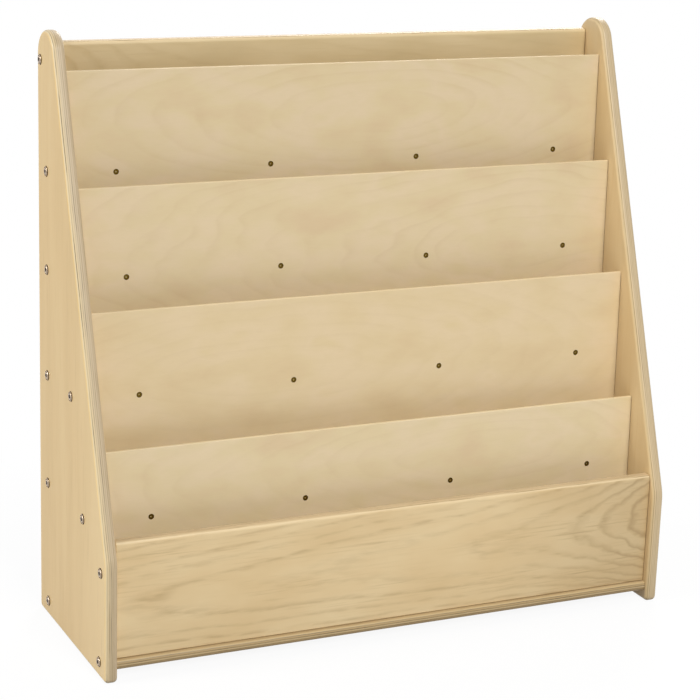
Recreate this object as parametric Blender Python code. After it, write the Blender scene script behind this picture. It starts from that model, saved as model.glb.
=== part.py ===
"""Book display shelf: five slots for picture books, stepped between two plywood sides.

Metres, +Z up, the front towards -Y, the origin on the floor under the middle of the shelf.
Every board is a section in the YZ plane that runs along X. Shelves join the sides with flat-head
bolts, and a thin panel that leans back is screwed to the front edge of each shelf.
"""

import math

import bmesh
import bpy
from mathutils import Euler, Matrix, Vector

# Overall size
WIDTH = 0.914
DEPTH = 0.314
HEIGHT = 0.887

# Plywood, and the clearance between pieces that touch
BOARD = 0.019
SHELF_BOARD = 0.015
PANEL = 0.006
GAP = 0.0003

# Outline of a side: upright foot, knee, slope, and a rounded top
KNEE_HEIGHT = 0.178
TOP_DEPTH = 0.068
TOP_REAR_RADIUS = 0.038
TOP_FRONT_RADIUS = 0.035
KNEE_RADIUS = 0.050
FOOT_RADIUS = 0.008
ROUND_OVER = 0.0064
EASED_EDGE = 0.0015

# Shelves: height of the middle of the board, and depth from the rear of the sides to the front edge
SHELF_1_HEIGHT = 0.6855
SHELF_2_HEIGHT = 0.5405
SHELF_3_HEIGHT = 0.3805
SHELF_4_HEIGHT = 0.2135
SHELF_1_DEPTH = 0.0665
SHELF_2_DEPTH = 0.114
SHELF_3_DEPTH = 0.173
SHELF_4_DEPTH = 0.2275

# Bottom board, back board and front board
FOOT_HEIGHT = 0.017
BOTTOM_FRONT_INSET = 0.006
FRONT_INSET = 0.013
FRONT_HEIGHT = 0.175
BACK_INSET = 0.0065
BACK_DROP = 0.0185

# Display panels
PANEL_HEIGHT = 0.284
PANEL_LEAN = math.radians(1.2)
PANEL_END_GAP = 0.0012

# Flat-head bolts through the sides, whose heads stand on the sides' faces
BOLT_LENGTH = 0.050
BOLT_SHANK = 0.006
BOLT_HEAD = 0.014
BOLT_HEAD_HEIGHT = 0.0018
BOLT_HEAD_CHAMFER = 0.0006
SOCKET_WIDTH = 0.004
SOCKET_DEPTH = 0.0024
REAR_BOLT_INSET = 0.043
SHELF_BOLT_INSET = 0.017
BOTTOM_BOLT_INSET = 0.023
BACK_BOLT_DROP = 0.026
FRONT_BOLT_DROP = 0.0465

# Countersunk screws through the display panels
SCREW_LENGTH = 0.030
SCREW_SHANK = 0.0035
SCREW_HEAD = 0.0075
CROSS_SPAN = 0.0042
CROSS_ARM = 0.0012
CROSS_DEPTH = 0.0012
SCREW_END_INSET = 0.07485
SCREWS_PER_PANEL = 4

SCREW_RIM = 0.0006
SCREW_SUNK = 0.0004

# Tapered tip that bolts and screws share
TIP_LENGTH = 0.003

# Wooden dowels that keep a board with one bolt from turning
DOWEL_DIAMETER = 0.008
DOWEL_LENGTH = 0.030
DOWEL_IN_SIDE = 0.012
DOWEL_CHAMFER = 0.001

# Facets of round forms: the sagitta is how far a facet may lie inside its arc, and a profile of 0.5 is round
SAGITTA = 0.0002
ROUND_OVER_SEGMENTS = 3
ROUND_OVER_PROFILE = 0.5
TURNED_SEGMENTS = 12
SMOOTH_ANGLE = math.radians(40)
CUT_OVERSHOOT = 0.005

# Places that follow from the sizes above
REAR = DEPTH / 2
FRONT = -DEPTH / 2
INNER_WIDTH = WIDTH - 2 * BOARD
BOARD_LENGTH = INNER_WIDTH - 2 * GAP
PANEL_LENGTH = INNER_WIDTH - 2 * PANEL_END_GAP
SCREW_PITCH = (PANEL_LENGTH - 2 * SCREW_END_INSET) / (SCREWS_PER_PANEL - 1)
SHELF_REAR = REAR - ROUND_OVER
BOTTOM_HEIGHT = FOOT_HEIGHT + SHELF_BOARD / 2
SHELVES = (
    (SHELF_1_HEIGHT, SHELF_1_DEPTH),
    (SHELF_2_HEIGHT, SHELF_2_DEPTH),
    (SHELF_3_HEIGHT, SHELF_3_DEPTH),
    (SHELF_4_HEIGHT, SHELF_4_DEPTH),
)
BOLTS_PER_SHELF = (1, 1, 2, 2)

holes = {}


def linear(channel):
    """One sRGB channel, 0 to 1, as linear light."""
    if channel <= 0.04045:
        return channel / 12.92
    return ((channel + 0.055) / 1.055) ** 2.4


def finish(name, red, green, blue, roughness, metallic):
    """A Principled material from an sRGB colour of 0 to 255."""
    made = bpy.data.materials.new(name)
    made.use_nodes = True
    shader = made.node_tree.nodes["Principled BSDF"]
    colour = [linear(value / 255) for value in (red, green, blue)]
    shader.inputs["Base Color"].default_value = (*colour, 1)
    shader.inputs["Roughness"].default_value = roughness
    shader.inputs["Metallic"].default_value = metallic
    return made


def section(corners):
    """The outline through (y, z, radius) corners, each rounded as far as the edges beside it allow."""
    count = len(corners)
    tips = [Vector(corner[:2]) for corner in corners]
    edges = [tips[(n + 1) % count] - tips[n] for n in range(count)]
    halves = [(-edges[n - 1]).angle(edges[n]) / 2 for n in range(count)]
    reaches = [corners[n][2] / math.tan(halves[n]) for n in range(count)]
    points = []
    for n, corner in enumerate(tips):
        if not reaches[n]:
            points.append(corner)
            continue
        room_before = edges[n - 1].length / (reaches[n - 1] + reaches[n])
        room_after = edges[n].length / (reaches[n] + reaches[(n + 1) % count])
        reach = reaches[n] * min(1, room_before, room_after)
        radius = reach * math.tan(halves[n])
        before = -edges[n - 1].normalized()
        after = edges[n].normalized()
        centre = corner + (before + after).normalized() * radius / math.sin(halves[n])
        start = corner + before * reach - centre
        turn = start.angle_signed(corner + after * reach - centre)
        steps = math.ceil(abs(turn) / (2 * math.acos(1 - min(SAGITTA, radius) / radius)))
        for step in range(steps + 1):
            points.append(centre + Matrix.Rotation(-turn * step / steps, 2) @ start)
    return points


def add_object(name, shape, material, location, rotation):
    """A named object of this mesh, under the shelf's own empty."""
    if material.name not in shape.materials:
        shape.materials.append(material)
    made = bpy.data.objects.new(name, shape)
    bpy.context.collection.objects.link(made)
    made.parent = assembly
    made.location = location
    made.rotation_euler = rotation
    return made


def mesh_of(name, bm):
    """Closes the edit into a mesh that is smooth over its round edges."""
    bmesh.ops.recalc_face_normals(bm, faces=bm.faces)
    shape = bpy.data.meshes.new(name)
    bm.to_mesh(shape)
    bm.free()
    shape.shade_smooth()
    shape.set_sharp_from_angle(angle=SMOOTH_ANGLE)
    return shape


def board(name, corners, length, material, location, lean=0.0, round_over=0.0):
    """A board: its YZ section run along X, with the ends' edges rounded over where asked."""
    bm = bmesh.new()
    outline = [bm.verts.new((-length / 2, y, z)) for y, z in section(corners)]
    near_end = bm.faces.new(outline)
    far_end = bmesh.ops.extrude_face_region(bm, geom=[near_end])["geom"]
    far_points = [item for item in far_end if isinstance(item, bmesh.types.BMVert)]
    bmesh.ops.translate(bm, verts=far_points, vec=(length, 0, 0))
    if round_over:
        ends = [edge for edge in bm.edges if edge.verts[0].co.x == edge.verts[1].co.x]
        bmesh.ops.bevel(
            bm,
            geom=ends,
            offset=round_over,
            segments=ROUND_OVER_SEGMENTS,
            profile=ROUND_OVER_PROFILE,
            affect="EDGES",
        )
    return add_object(name, mesh_of(name, bm), material, location, (-lean, 0, 0))


def ring(radius, height, first_angle=0.0):
    """A turned ring of points around Z."""
    angles = [first_angle + math.tau * n / TURNED_SEGMENTS for n in range(TURNED_SEGMENTS)]
    return [Vector((radius * math.cos(a), radius * math.sin(a), height)) for a in angles]


def hexagon(width, height):
    """A hexagon across flats, with the middle of each side as a point too."""
    flat = width / 2
    return [
        point * (flat / math.cos(math.pi / 6) if n % 2 == 0 else flat) + Vector((0, 0, height))
        for n, point in enumerate(ring(1, 0))
    ]


def cross(span, arm, height):
    """A cross with four arms: two tip corners and one inner corner to each arm."""
    quarter = ((span / 2, -arm / 2), (span / 2, arm / 2), (arm / 2, arm / 2))
    points = []
    for n in range(4):
        turn = Matrix.Rotation(math.pi / 2 * n, 3, "Z")
        points += [turn @ Vector((x, y, height)) for x, y in quarter]
    return points


def add_loft(bm, rings, place=None):
    """Joins rings of as many points each into one closed skin."""
    place = place or Matrix()
    loops = [[bm.verts.new(place @ point) for point in points] for points in rings]
    for lower, upper in zip(loops, loops[1:]):
        for n in range(len(lower)):
            bm.faces.new((lower[n - 1], lower[n], upper[n], upper[n - 1]))
    bm.faces.new(loops[0])
    bm.faces.new(loops[-1])


def loft(name, rings):
    bm = bmesh.new()
    add_loft(bm, rings)
    return mesh_of(name, bm)


def shank_rings(shank, head_end, length, first_angle, clearance=0.0):
    """The shank of a fastener, from where its head ends to its tip at -length."""
    return [
        ring(shank / 2 + clearance, head_end, first_angle),
        ring(shank / 2 + clearance, -length + TIP_LENGTH, first_angle),
        ring(shank / 4 + clearance, -length - clearance, first_angle),
    ]


def screw_rings(first_angle, clearance=0.0):
    """The outside of a countersunk screw below its flat: rim, cone, shank and tip."""
    cone_end = -SCREW_RIM - (SCREW_HEAD - SCREW_SHANK) / 2
    rim = ring(SCREW_HEAD / 2 + clearance, -SCREW_RIM, first_angle)
    return [rim] + shank_rings(SCREW_SHANK, cone_end, SCREW_LENGTH, first_angle, clearance)


def drill(board_names, rings, location, rotation):
    """Notes a hole that goes through these boards."""
    place = Matrix.Translation(location) @ Euler(rotation).to_matrix().to_4x4()
    for name in board_names:
        holes.setdefault(name, []).append((rings, place))


def cut_holes():
    """Cuts all the holes of a board with one Boolean."""
    for name, found in holes.items():
        bm = bmesh.new()
        for rings, place in found:
            add_loft(bm, rings, place)
        cutter = add_object(name + "_holes", mesh_of(name + "_holes", bm), steel, (0, 0, 0), (0, 0, 0))
        cutter.hide_render = True
        cutter.display_type = "WIRE"
        cut = bpy.data.objects[name].modifiers.new("holes", "BOOLEAN")
        cut.operation = "DIFFERENCE"
        cut.solver = "EXACT"
        cut.object = cutter


for old in list(bpy.data.objects):
    bpy.data.objects.remove(old)

assembly = bpy.data.objects.new("book_display_shelf", None)
bpy.context.collection.objects.link(assembly)

side_ply = finish("side_plywood", 220, 192, 149, 0.45, 0)
shelf_ply = finish("shelf_plywood", 205, 178, 132, 0.45, 0)
panel_ply = finish("panel_plywood", 217, 197, 159, 0.45, 0)
front_ply = finish("front_plywood", 212, 188, 144, 0.45, 0)
steel = finish("zinc_plated_steel", 170, 165, 158, 0.35, 1)
beech = finish("beech_dowel", 214, 178, 132, 0.7, 0)

# Sides
side_corners = (
    (REAR, 0, FOOT_RADIUS),
    (REAR, HEIGHT, TOP_REAR_RADIUS),
    (REAR - TOP_DEPTH, HEIGHT, TOP_FRONT_RADIUS),
    (FRONT, KNEE_HEIGHT, KNEE_RADIUS),
    (FRONT, 0, FOOT_RADIUS),
)
side_middle = (WIDTH - BOARD) / 2
board("left_side", side_corners, BOARD, side_ply, (-side_middle, 0, 0), round_over=ROUND_OVER)
board("right_side", side_corners, BOARD, side_ply, (side_middle, 0, 0), round_over=ROUND_OVER)

# Shelves: flat boards whose front edge is cut to the lean of the panels
half_shelf = SHELF_BOARD / 2
lean_shift = half_shelf * math.tan(PANEL_LEAN)
shelf_fronts = []
for number, (height, depth) in enumerate(SHELVES, 1):
    front_edge = REAR - depth
    shelf_fronts.append(front_edge)
    board(
        f"shelf_{number}",
        (
            (SHELF_REAR, -half_shelf, EASED_EDGE),
            (SHELF_REAR, half_shelf, EASED_EDGE),
            (front_edge + lean_shift, half_shelf, 0),
            (front_edge - lean_shift, -half_shelf, 0),
        ),
        BOARD_LENGTH,
        shelf_ply,
        (0, 0, height),
    )

# Bottom board, between the sides and clear of the floor, with a rounded front edge
bottom_front = FRONT + BOTTOM_FRONT_INSET
board(
    "bottom_board",
    (
        (SHELF_REAR, -half_shelf, EASED_EDGE),
        (SHELF_REAR, half_shelf, EASED_EDGE),
        (bottom_front, half_shelf, ROUND_OVER),
        (bottom_front, -half_shelf, ROUND_OVER),
    ),
    BOARD_LENGTH,
    shelf_ply,
    (0, 0, BOTTOM_HEIGHT),
)

# Back board, which stands on the top shelf, and front board, which stands on the bottom board
half_board = BOARD / 2
back_middle = REAR - BACK_INSET - half_board
back_foot = SHELF_1_HEIGHT + half_shelf + GAP
back_height = HEIGHT - BACK_DROP - back_foot
front_middle = FRONT + FRONT_INSET + half_board
front_foot = BOTTOM_HEIGHT + half_shelf + GAP


def standing_board(name, height, middle, foot):
    """A thick board on edge, with both top edges rounded over and its ends eased."""
    corners = (
        (half_board, 0, EASED_EDGE),
        (half_board, height, ROUND_OVER),
        (-half_board, height, ROUND_OVER),
        (-half_board, 0, EASED_EDGE),
    )
    board(name, corners, BOARD_LENGTH, front_ply, (0, middle, foot), round_over=EASED_EDGE)


standing_board("back_board", back_height, back_middle, back_foot)
standing_board("front_board", FRONT_HEIGHT, front_middle, front_foot)

# Display panels: each stands on the next shelf down and leans against the front edge of its own
panel_corners = (
    (0, 0, 0),
    (0, PANEL_HEIGHT, EASED_EDGE),
    (-PANEL, PANEL_HEIGHT, EASED_EDGE),
    (-PANEL, 0, 0),
)
lower_boards = [height for height, depth in SHELVES[1:]] + [BOTTOM_HEIGHT]
panel_feet = []
for number, lower in enumerate(lower_boards, 1):
    foot = lower + half_shelf + GAP + PANEL * math.sin(PANEL_LEAN)
    drop = SHELVES[number - 1][0] - foot
    rear_face = shelf_fronts[number - 1] - GAP / math.cos(PANEL_LEAN)
    panel_feet.append((rear_face - drop * math.tan(PANEL_LEAN), foot))
    board(
        f"display_panel_{number}",
        panel_corners,
        PANEL_LENGTH,
        panel_ply,
        (0, *panel_feet[-1]),
        lean=PANEL_LEAN,
    )

# Flat-head bolts through both sides, as (board, number on that board, y, z)
bolt_places = [
    ("back_board", 1, back_middle, HEIGHT - BACK_DROP - BACK_BOLT_DROP),
    ("front_board", 1, front_middle, front_foot + FRONT_HEIGHT - FRONT_BOLT_DROP),
    ("bottom_board", 1, REAR - REAR_BOLT_INSET, BOTTOM_HEIGHT),
    ("bottom_board", 2, bottom_front + BOTTOM_BOLT_INSET, BOTTOM_HEIGHT),
]
for number, (height, depth) in enumerate(SHELVES, 1):
    places = [REAR - REAR_BOLT_INSET, shelf_fronts[number - 1] + SHELF_BOLT_INSET]
    for count, y in enumerate(places[: BOLTS_PER_SHELF[number - 1]], 1):
        bolt_places.append((f"shelf_{number}", count, y, height))

bolt_mesh = loft(
    "bolt",
    [
        hexagon(SOCKET_WIDTH, BOLT_HEAD_HEIGHT - SOCKET_DEPTH),
        hexagon(SOCKET_WIDTH, BOLT_HEAD_HEIGHT),
        ring(BOLT_HEAD / 2 - BOLT_HEAD_CHAMFER, BOLT_HEAD_HEIGHT),
        ring(BOLT_HEAD / 2, BOLT_HEAD_HEIGHT - BOLT_HEAD_CHAMFER),
        ring(BOLT_HEAD / 2, 0),
        *shank_rings(BOLT_SHANK, 0, BOLT_LENGTH, 0),
    ],
)
bolt_hole = shank_rings(BOLT_SHANK, CUT_OVERSHOOT, BOLT_LENGTH, 0, GAP)
sides = (("left", -1), ("right", 1))
for side, hand in sides:
    for name, count, y, z in bolt_places:
        location = (hand * (WIDTH / 2 + GAP), y, z)
        rotation = (0, hand * math.pi / 2, 0)
        add_object(f"{side}_bolt_{name}_{count}", bolt_mesh, steel, location, rotation)
        drill((f"{side}_side", name), bolt_hole, location, rotation)

# Dowels for each board with one bolt at each end, midway from that bolt to the board's edge, as (board, y, z)
dowel_places = [
    (name, y, (z + foot) / 2)
    for (name, count, y, z), foot in zip(bolt_places[:2], (back_foot, front_foot))
]
for number, height in ((1, SHELF_1_HEIGHT), (2, SHELF_2_HEIGHT)):
    dowel_places.append((f"shelf_{number}", (REAR - REAR_BOLT_INSET + SHELF_REAR) / 2, height))

dowel_radius = DOWEL_DIAMETER / 2
dowel_mesh = loft(
    "dowel",
    [
        ring(dowel_radius - DOWEL_CHAMFER, 0),
        ring(dowel_radius, -DOWEL_CHAMFER),
        ring(dowel_radius, -DOWEL_LENGTH + DOWEL_CHAMFER),
        ring(dowel_radius - DOWEL_CHAMFER, -DOWEL_LENGTH),
    ],
)
dowel_hole = [ring(dowel_radius + GAP, GAP), ring(dowel_radius + GAP, -DOWEL_LENGTH - GAP)]
for side, hand in sides:
    for name, y, z in dowel_places:
        location = (hand * (INNER_WIDTH / 2 + DOWEL_IN_SIDE), y, z)
        rotation = (0, hand * math.pi / 2, 0)
        add_object(f"{side}_dowel_{name}", dowel_mesh, beech, location, rotation)
        drill((f"{side}_side", name), dowel_hole, location, rotation)

# Countersunk screws, square to each panel, into the middle of the shelf edge behind it
cross_angle = -math.pi / TURNED_SEGMENTS
screw_mesh = loft(
    "panel_screw",
    [
        cross(CROSS_SPAN, CROSS_ARM, -CROSS_DEPTH),
        cross(CROSS_SPAN, CROSS_ARM, 0),
        ring(SCREW_HEAD / 2, 0, cross_angle),
        *screw_rings(cross_angle),
    ],
)
screw_hole = [ring(SCREW_HEAD / 2 + GAP, CUT_OVERSHOOT, cross_angle), *screw_rings(cross_angle, GAP)]
facing = (math.pi / 2 - PANEL_LEAN, 0, 0)
outward = Vector((0, -math.cos(PANEL_LEAN), math.sin(PANEL_LEAN)))
for number, (height, depth) in enumerate(SHELVES, 1):
    shelf_edge = Vector((0, shelf_fronts[number - 1], height))
    head = shelf_edge + outward * (GAP + PANEL - SCREW_SUNK)
    for count in range(SCREWS_PER_PANEL):
        x = (count - (SCREWS_PER_PANEL - 1) / 2) * SCREW_PITCH
        location = (x, head.y, head.z)
        add_object(f"panel_{number}_screw_{count + 1}", screw_mesh, steel, location, facing)
        drill((f"display_panel_{number}", f"shelf_{number}"), screw_hole, location, facing)

cut_holes()
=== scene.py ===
import math

import bmesh
import bpy
from mathutils import Matrix, Vector


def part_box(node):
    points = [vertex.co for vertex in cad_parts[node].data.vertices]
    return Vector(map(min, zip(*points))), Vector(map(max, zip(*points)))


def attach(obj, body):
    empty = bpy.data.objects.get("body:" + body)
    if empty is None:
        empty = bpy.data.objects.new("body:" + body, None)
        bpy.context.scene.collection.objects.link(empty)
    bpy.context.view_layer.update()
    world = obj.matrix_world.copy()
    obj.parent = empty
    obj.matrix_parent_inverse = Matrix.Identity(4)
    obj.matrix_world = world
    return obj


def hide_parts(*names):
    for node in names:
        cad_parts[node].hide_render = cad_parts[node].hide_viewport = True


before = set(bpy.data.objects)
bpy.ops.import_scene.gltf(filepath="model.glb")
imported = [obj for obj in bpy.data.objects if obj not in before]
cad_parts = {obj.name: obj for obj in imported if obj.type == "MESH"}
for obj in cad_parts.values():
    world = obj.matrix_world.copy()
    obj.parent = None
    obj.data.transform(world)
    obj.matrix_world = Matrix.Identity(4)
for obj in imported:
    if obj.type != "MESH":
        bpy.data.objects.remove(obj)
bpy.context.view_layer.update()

# The two sides: 19 mm plywood, both sawn to one outline with an upright foot, a knee, a long slope and a
# round top. A router has rounded over both faces all round, and each side is bored for the ten bolts
# that hold the boards between the pair, and for four dowels.
KNEE_HEIGHT = 0.178
KNEE_RADIUS = 0.050
KNEE_STEPS = 8
TOP_DEPTH = 0.068
TOP_REAR_RADIUS = 0.038
TOP_REAR_STEPS = 16
TOP_FRONT_RADIUS = 0.035
TOP_FRONT_STEPS = 14
FOOT_RADIUS = 0.008
FOOT_STEPS = 5
ROUND_OVER = 0.0064
ROUND_OVER_STEPS = 8
QUARTER_ROUND = 0.5
BOLT_PROUD = 0.0021
BOLT_SHANK = 0.006
BOLT_LENGTH = 0.0518
SPOT_FACE = 0.0158
SPOT_FACE_DEPTH = 0.0006
DOWEL_DIAMETER = 0.008
DOWEL_LENGTH = 0.030
HOLE_CLEARANCE = 0.0004
DRILL_OVERSHOOT = 0.004
DRILL_FACETS = 40
SAME_PLACE = 0.00002
SMOOTH_ANGLE = math.radians(35)


def linear_colour(code):
    """An sRGB hex colour as linear red, green, blue and alpha."""
    channels = [int(code[n : n + 2], 16) / 255 for n in (0, 2, 4)]
    return [c / 12.92 if c <= 0.04045 else ((c + 0.055) / 1.055) ** 2.4 for c in channels] + [1]


def add_node(tree, kind, settings):
    """Adds a node. A socket is linked, an input is set, stops fill a ramp, and the rest are options."""
    made = tree.nodes.new("ShaderNode" + kind)
    for name, value in settings.items():
        if name == "stops":
            for count, (position, colour) in enumerate(value):
                if count >= len(made.color_ramp.elements):
                    made.color_ramp.elements.new(1)
                made.color_ramp.elements[count].position = position
                made.color_ramp.elements[count].color = linear_colour(colour)
        elif isinstance(value, bpy.types.NodeSocket):
            tree.links.new(value, made.inputs[name])
        elif isinstance(name, int) or name in made.inputs:
            made.inputs[name].default_value = value
        else:
            setattr(made, name, value)
    return made


def new_material(name):
    material = bpy.data.materials.new(name)
    material.use_nodes = True
    return material


# Figure of wood and metal: noise with two, three or four layers, from soft to rough.
SOFT = 2
FINE = 3
ROUGH = 4


def grain_figure(tree, board, size, number, layers):
    """Light and dark figure of about this size along, across and through the grain, by board number."""
    place = add_node(tree, "VectorMath", {"operation": "DIVIDE", 0: board, 1: size})
    figure = add_node(
        tree,
        "TexNoise",
        {
            "noise_dimensions": "4D",
            "Vector": place.outputs[0],
            "W": number,
            "Scale": 1,
            "Detail": layers,
        },
    )
    return figure.outputs[0]


# Bored holes: end grain painted dark brown and dull, with paler torn fibres, as painted shade in the
# holes and round the heads.
HOLE_FIBRE_GRAIN = (0.002, 0.002, 0.002)
HOLE_SHADE_TONES = ((0.3, "4E3814"), (0.55, "654A1C"), (0.75, "7E6030"))
HOLE_WALL_ROUGHNESS = 0.85


def birch_with_painted_hole_shade():
    material = new_material("birch_with_painted_hole_shade")
    tree = material.node_tree
    place = add_node(tree, "TexCoord", {})
    fibre = grain_figure(tree, place.outputs["Object"], HOLE_FIBRE_GRAIN, 0, FINE)
    painted_hole_shade = add_node(tree, "ValToRGB", {"Fac": fibre, "stops": HOLE_SHADE_TONES})
    shader = tree.nodes["Principled BSDF"]
    shader.inputs["Roughness"].default_value = HOLE_WALL_ROUGHNESS
    tree.links.new(painted_hole_shade.outputs["Color"], shader.inputs["Base Color"])
    return material


def saw_block(name, low, high, material):
    """A block of this size and place, as the start of a piece, open in edit mode."""
    bpy.ops.object.select_all(action="DESELECT")
    bpy.ops.mesh.primitive_cube_add(size=1, location=(low + high) / 2, scale=high - low)
    piece = bpy.context.object
    piece.name = name
    piece.data.materials.append(material)
    bpy.ops.object.transform_apply(location=True, rotation=True, scale=True)
    bpy.ops.object.mode_set(mode="EDIT")
    return piece


def plane_off(point, outward):
    """Cuts away what lies outside a plane, and closes the cut."""
    bpy.ops.mesh.select_all(action="SELECT")
    bpy.ops.mesh.bisect(plane_co=point, plane_no=outward, use_fill=True, clear_outer=True)


def round_edges(wanted, width, steps):
    """Rounds the edges whose two ends pass the test."""
    mesh = bpy.context.object.data
    bpy.ops.mesh.select_mode(type="EDGE")
    bpy.ops.mesh.select_all(action="DESELECT")
    edit = bmesh.from_edit_mesh(mesh)
    for edge in edit.edges:
        edge.select_set(wanted(edge.verts[0].co, edge.verts[1].co))
    bmesh.update_edit_mesh(mesh)
    bpy.ops.mesh.bevel(offset=width, segments=steps, profile=QUARTER_ROUND, affect="EDGES")


def turn_round(name, rings, facets, material):
    """A closed turned piece round Z through (radius, height) rings."""
    bpy.ops.object.select_all(action="DESELECT")
    first_radius, first_height = rings[0]
    bpy.ops.mesh.primitive_circle_add(
        vertices=facets, radius=first_radius, fill_type="NGON", location=(0, 0, first_height)
    )
    piece = bpy.context.object
    piece.name = name
    piece.data.materials.append(material)
    bpy.ops.object.transform_apply(location=True, rotation=True, scale=True)
    bpy.ops.object.mode_set(mode="EDIT")
    bpy.ops.mesh.select_all(action="SELECT")
    for (radius, height), (next_radius, next_height) in zip(rings, rings[1:]):
        growth = next_radius / radius
        bpy.ops.mesh.extrude_region_move(TRANSFORM_OT_translate={"value": (0, 0, next_height - height)})
        bpy.ops.transform.resize(value=(growth, growth, 1))
    bpy.ops.mesh.select_all(action="SELECT")
    bpy.ops.mesh.normals_make_consistent(inside=False)
    bpy.ops.object.mode_set(mode="OBJECT")
    return piece


def copy_to(source, name, place):
    """A copy with its own mesh, moved to its place, with the place in the mesh."""
    bpy.ops.object.select_all(action="DESELECT")
    source.select_set(True)
    bpy.context.view_layer.objects.active = source
    bpy.ops.object.duplicate()
    made = bpy.context.object
    made.name = name
    made.matrix_world = place
    bpy.ops.object.transform_apply(location=True, rotation=True, scale=True)
    return made


def cut_away(piece, cutters):
    """Cuts the cutters out of a piece with one Boolean. The cut faces take the cutters' material."""
    bpy.ops.object.select_all(action="DESELECT")
    for cutter in cutters:
        cutter.select_set(True)
    bpy.context.view_layer.objects.active = cutters[0]
    if len(cutters) > 1:
        bpy.ops.object.join()
    joined = bpy.context.object
    bpy.ops.object.select_all(action="DESELECT")
    piece.select_set(True)
    bpy.context.view_layer.objects.active = piece
    bpy.ops.object.modifier_add(type="BOOLEAN")
    cut = piece.modifiers[-1]
    cut.operation = "DIFFERENCE"
    cut.solver = "EXACT"
    cut.material_mode = "TRANSFER"
    cut.object = joined
    bpy.ops.object.modifier_apply(modifier=cut.name)
    bpy.data.objects.remove(joined)


def finish_piece(piece, node):
    """Shades a piece smooth over its round edges and puts it in the node's stead."""
    bpy.ops.object.select_all(action="DESELECT")
    piece.select_set(True)
    bpy.context.view_layer.objects.active = piece
    bpy.ops.object.shade_smooth_by_angle(angle=SMOOTH_ANGLE)
    bpy.ops.object.modifier_add(type="WEIGHTED_NORMAL")
    even = piece.modifiers[-1]
    even.keep_sharp = True
    bpy.ops.object.modifier_apply(modifier=even.name)
    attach(piece, "root")
    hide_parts(node)


def nodes_of(start, holding=""):
    return [name for name in sorted(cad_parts) if name.startswith(start) and holding in name]


def middle_of(node):
    low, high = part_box(node)
    return (low + high) / 2


def bolt_place(node):
    """The middle of a bolt's head, with Z out of the side that it goes through."""
    low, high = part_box(node)
    middle = (low + high) / 2
    hand = math.copysign(1, middle.x)
    head = Vector((max(low.x * hand, high.x * hand) * hand, middle.y, middle.z))
    return Matrix.Translation(head) @ Matrix.Rotation(hand * math.pi / 2, 4, "Y")


# Every bored hole takes this wood, painted dark as painted shade.
hole_shade_wood = birch_with_painted_hole_shade()
bolt_seat = -BOLT_PROUD - SPOT_FACE_DEPTH
bolt_drill = turn_round(
    "bolt_drill",
    (
        (BOLT_SHANK / 2 + HOLE_CLEARANCE, -BOLT_LENGTH - HOLE_CLEARANCE),
        (BOLT_SHANK / 2 + HOLE_CLEARANCE, bolt_seat),
        (SPOT_FACE / 2, bolt_seat),
        (SPOT_FACE / 2, DRILL_OVERSHOOT),
    ),
    DRILL_FACETS,
    hole_shade_wood,
)
dowel_drill = turn_round(
    "dowel_drill",
    (
        (DOWEL_DIAMETER / 2 + HOLE_CLEARANCE, -DOWEL_LENGTH / 2 - HOLE_CLEARANCE),
        (DOWEL_DIAMETER / 2 + HOLE_CLEARANCE, DOWEL_LENGTH / 2 + HOLE_CLEARANCE),
    ),
    DRILL_FACETS,
    hole_shade_wood,
)


def joinery_cuts(side, board=""):
    """Cutters for the bolts and dowels through one side, all of them or those of one board."""
    cuts = []
    for node in nodes_of(side + "_bolt_", board):
        cuts.append(copy_to(bolt_drill, "cut_" + node, bolt_place(node)))
    for node in nodes_of(side + "_dowel_", board):
        across = Matrix.Translation(middle_of(node)) @ Matrix.Rotation(math.pi / 2, 4, "Y")
        cuts.append(copy_to(dowel_drill, "cut_" + node, across))
    return cuts


def edge_at(corner):
    """A test for the edge through the board at this corner of its outline."""
    return lambda a, b: max((a.yz - corner.yz).length, (b.yz - corner.yz).length) < SAME_PLACE


def round_a_face(a, b):
    return abs(a.x - b.x) < SAME_PLACE


def side_board(side, material):
    """One side: a block sawn along the slope, its corners rounded, then both faces rounded over."""
    low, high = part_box(side + "_side")
    piece = saw_block(side + "_side_finished", low, high, material)
    top_front = Vector((0, high.y - TOP_DEPTH, high.z))
    knee = Vector((0, low.y, KNEE_HEIGHT))
    slope = (top_front - knee).normalized()
    plane_off(knee, Vector((0, -slope.z, slope.y)))
    slope_angle = math.atan2(slope.y, slope.z)
    corners = (
        (Vector((0, high.y, low.z)), FOOT_RADIUS, math.pi / 2, FOOT_STEPS),
        (Vector((0, low.y, low.z)), FOOT_RADIUS, math.pi / 2, FOOT_STEPS),
        (Vector((0, high.y, high.z)), TOP_REAR_RADIUS, math.pi / 2, TOP_REAR_STEPS),
        (top_front, TOP_FRONT_RADIUS, math.pi / 2 + slope_angle, TOP_FRONT_STEPS),
        (knee, KNEE_RADIUS, math.pi - slope_angle, KNEE_STEPS),
    )
    for corner, radius, opening, steps in corners:
        round_edges(edge_at(corner), radius / math.tan(opening / 2), steps)
    round_edges(round_a_face, ROUND_OVER, ROUND_OVER_STEPS)
    bpy.ops.object.mode_set(mode="OBJECT")
    cut_away(piece, joinery_cuts(side))
    return piece


def start_plywood(name, middle, turn):
    """A new material, and a point's place along the grain, across it, and through the plies."""
    material = new_material(name)
    tree = material.node_tree
    place = add_node(tree, "TexCoord", {})
    board = add_node(
        tree,
        "Mapping",
        {
            "vector_type": "TEXTURE",
            "Vector": place.outputs["Object"],
            "Location": middle,
            "Rotation": turn,
        },
    )
    return material, board.outputs["Vector"]


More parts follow.
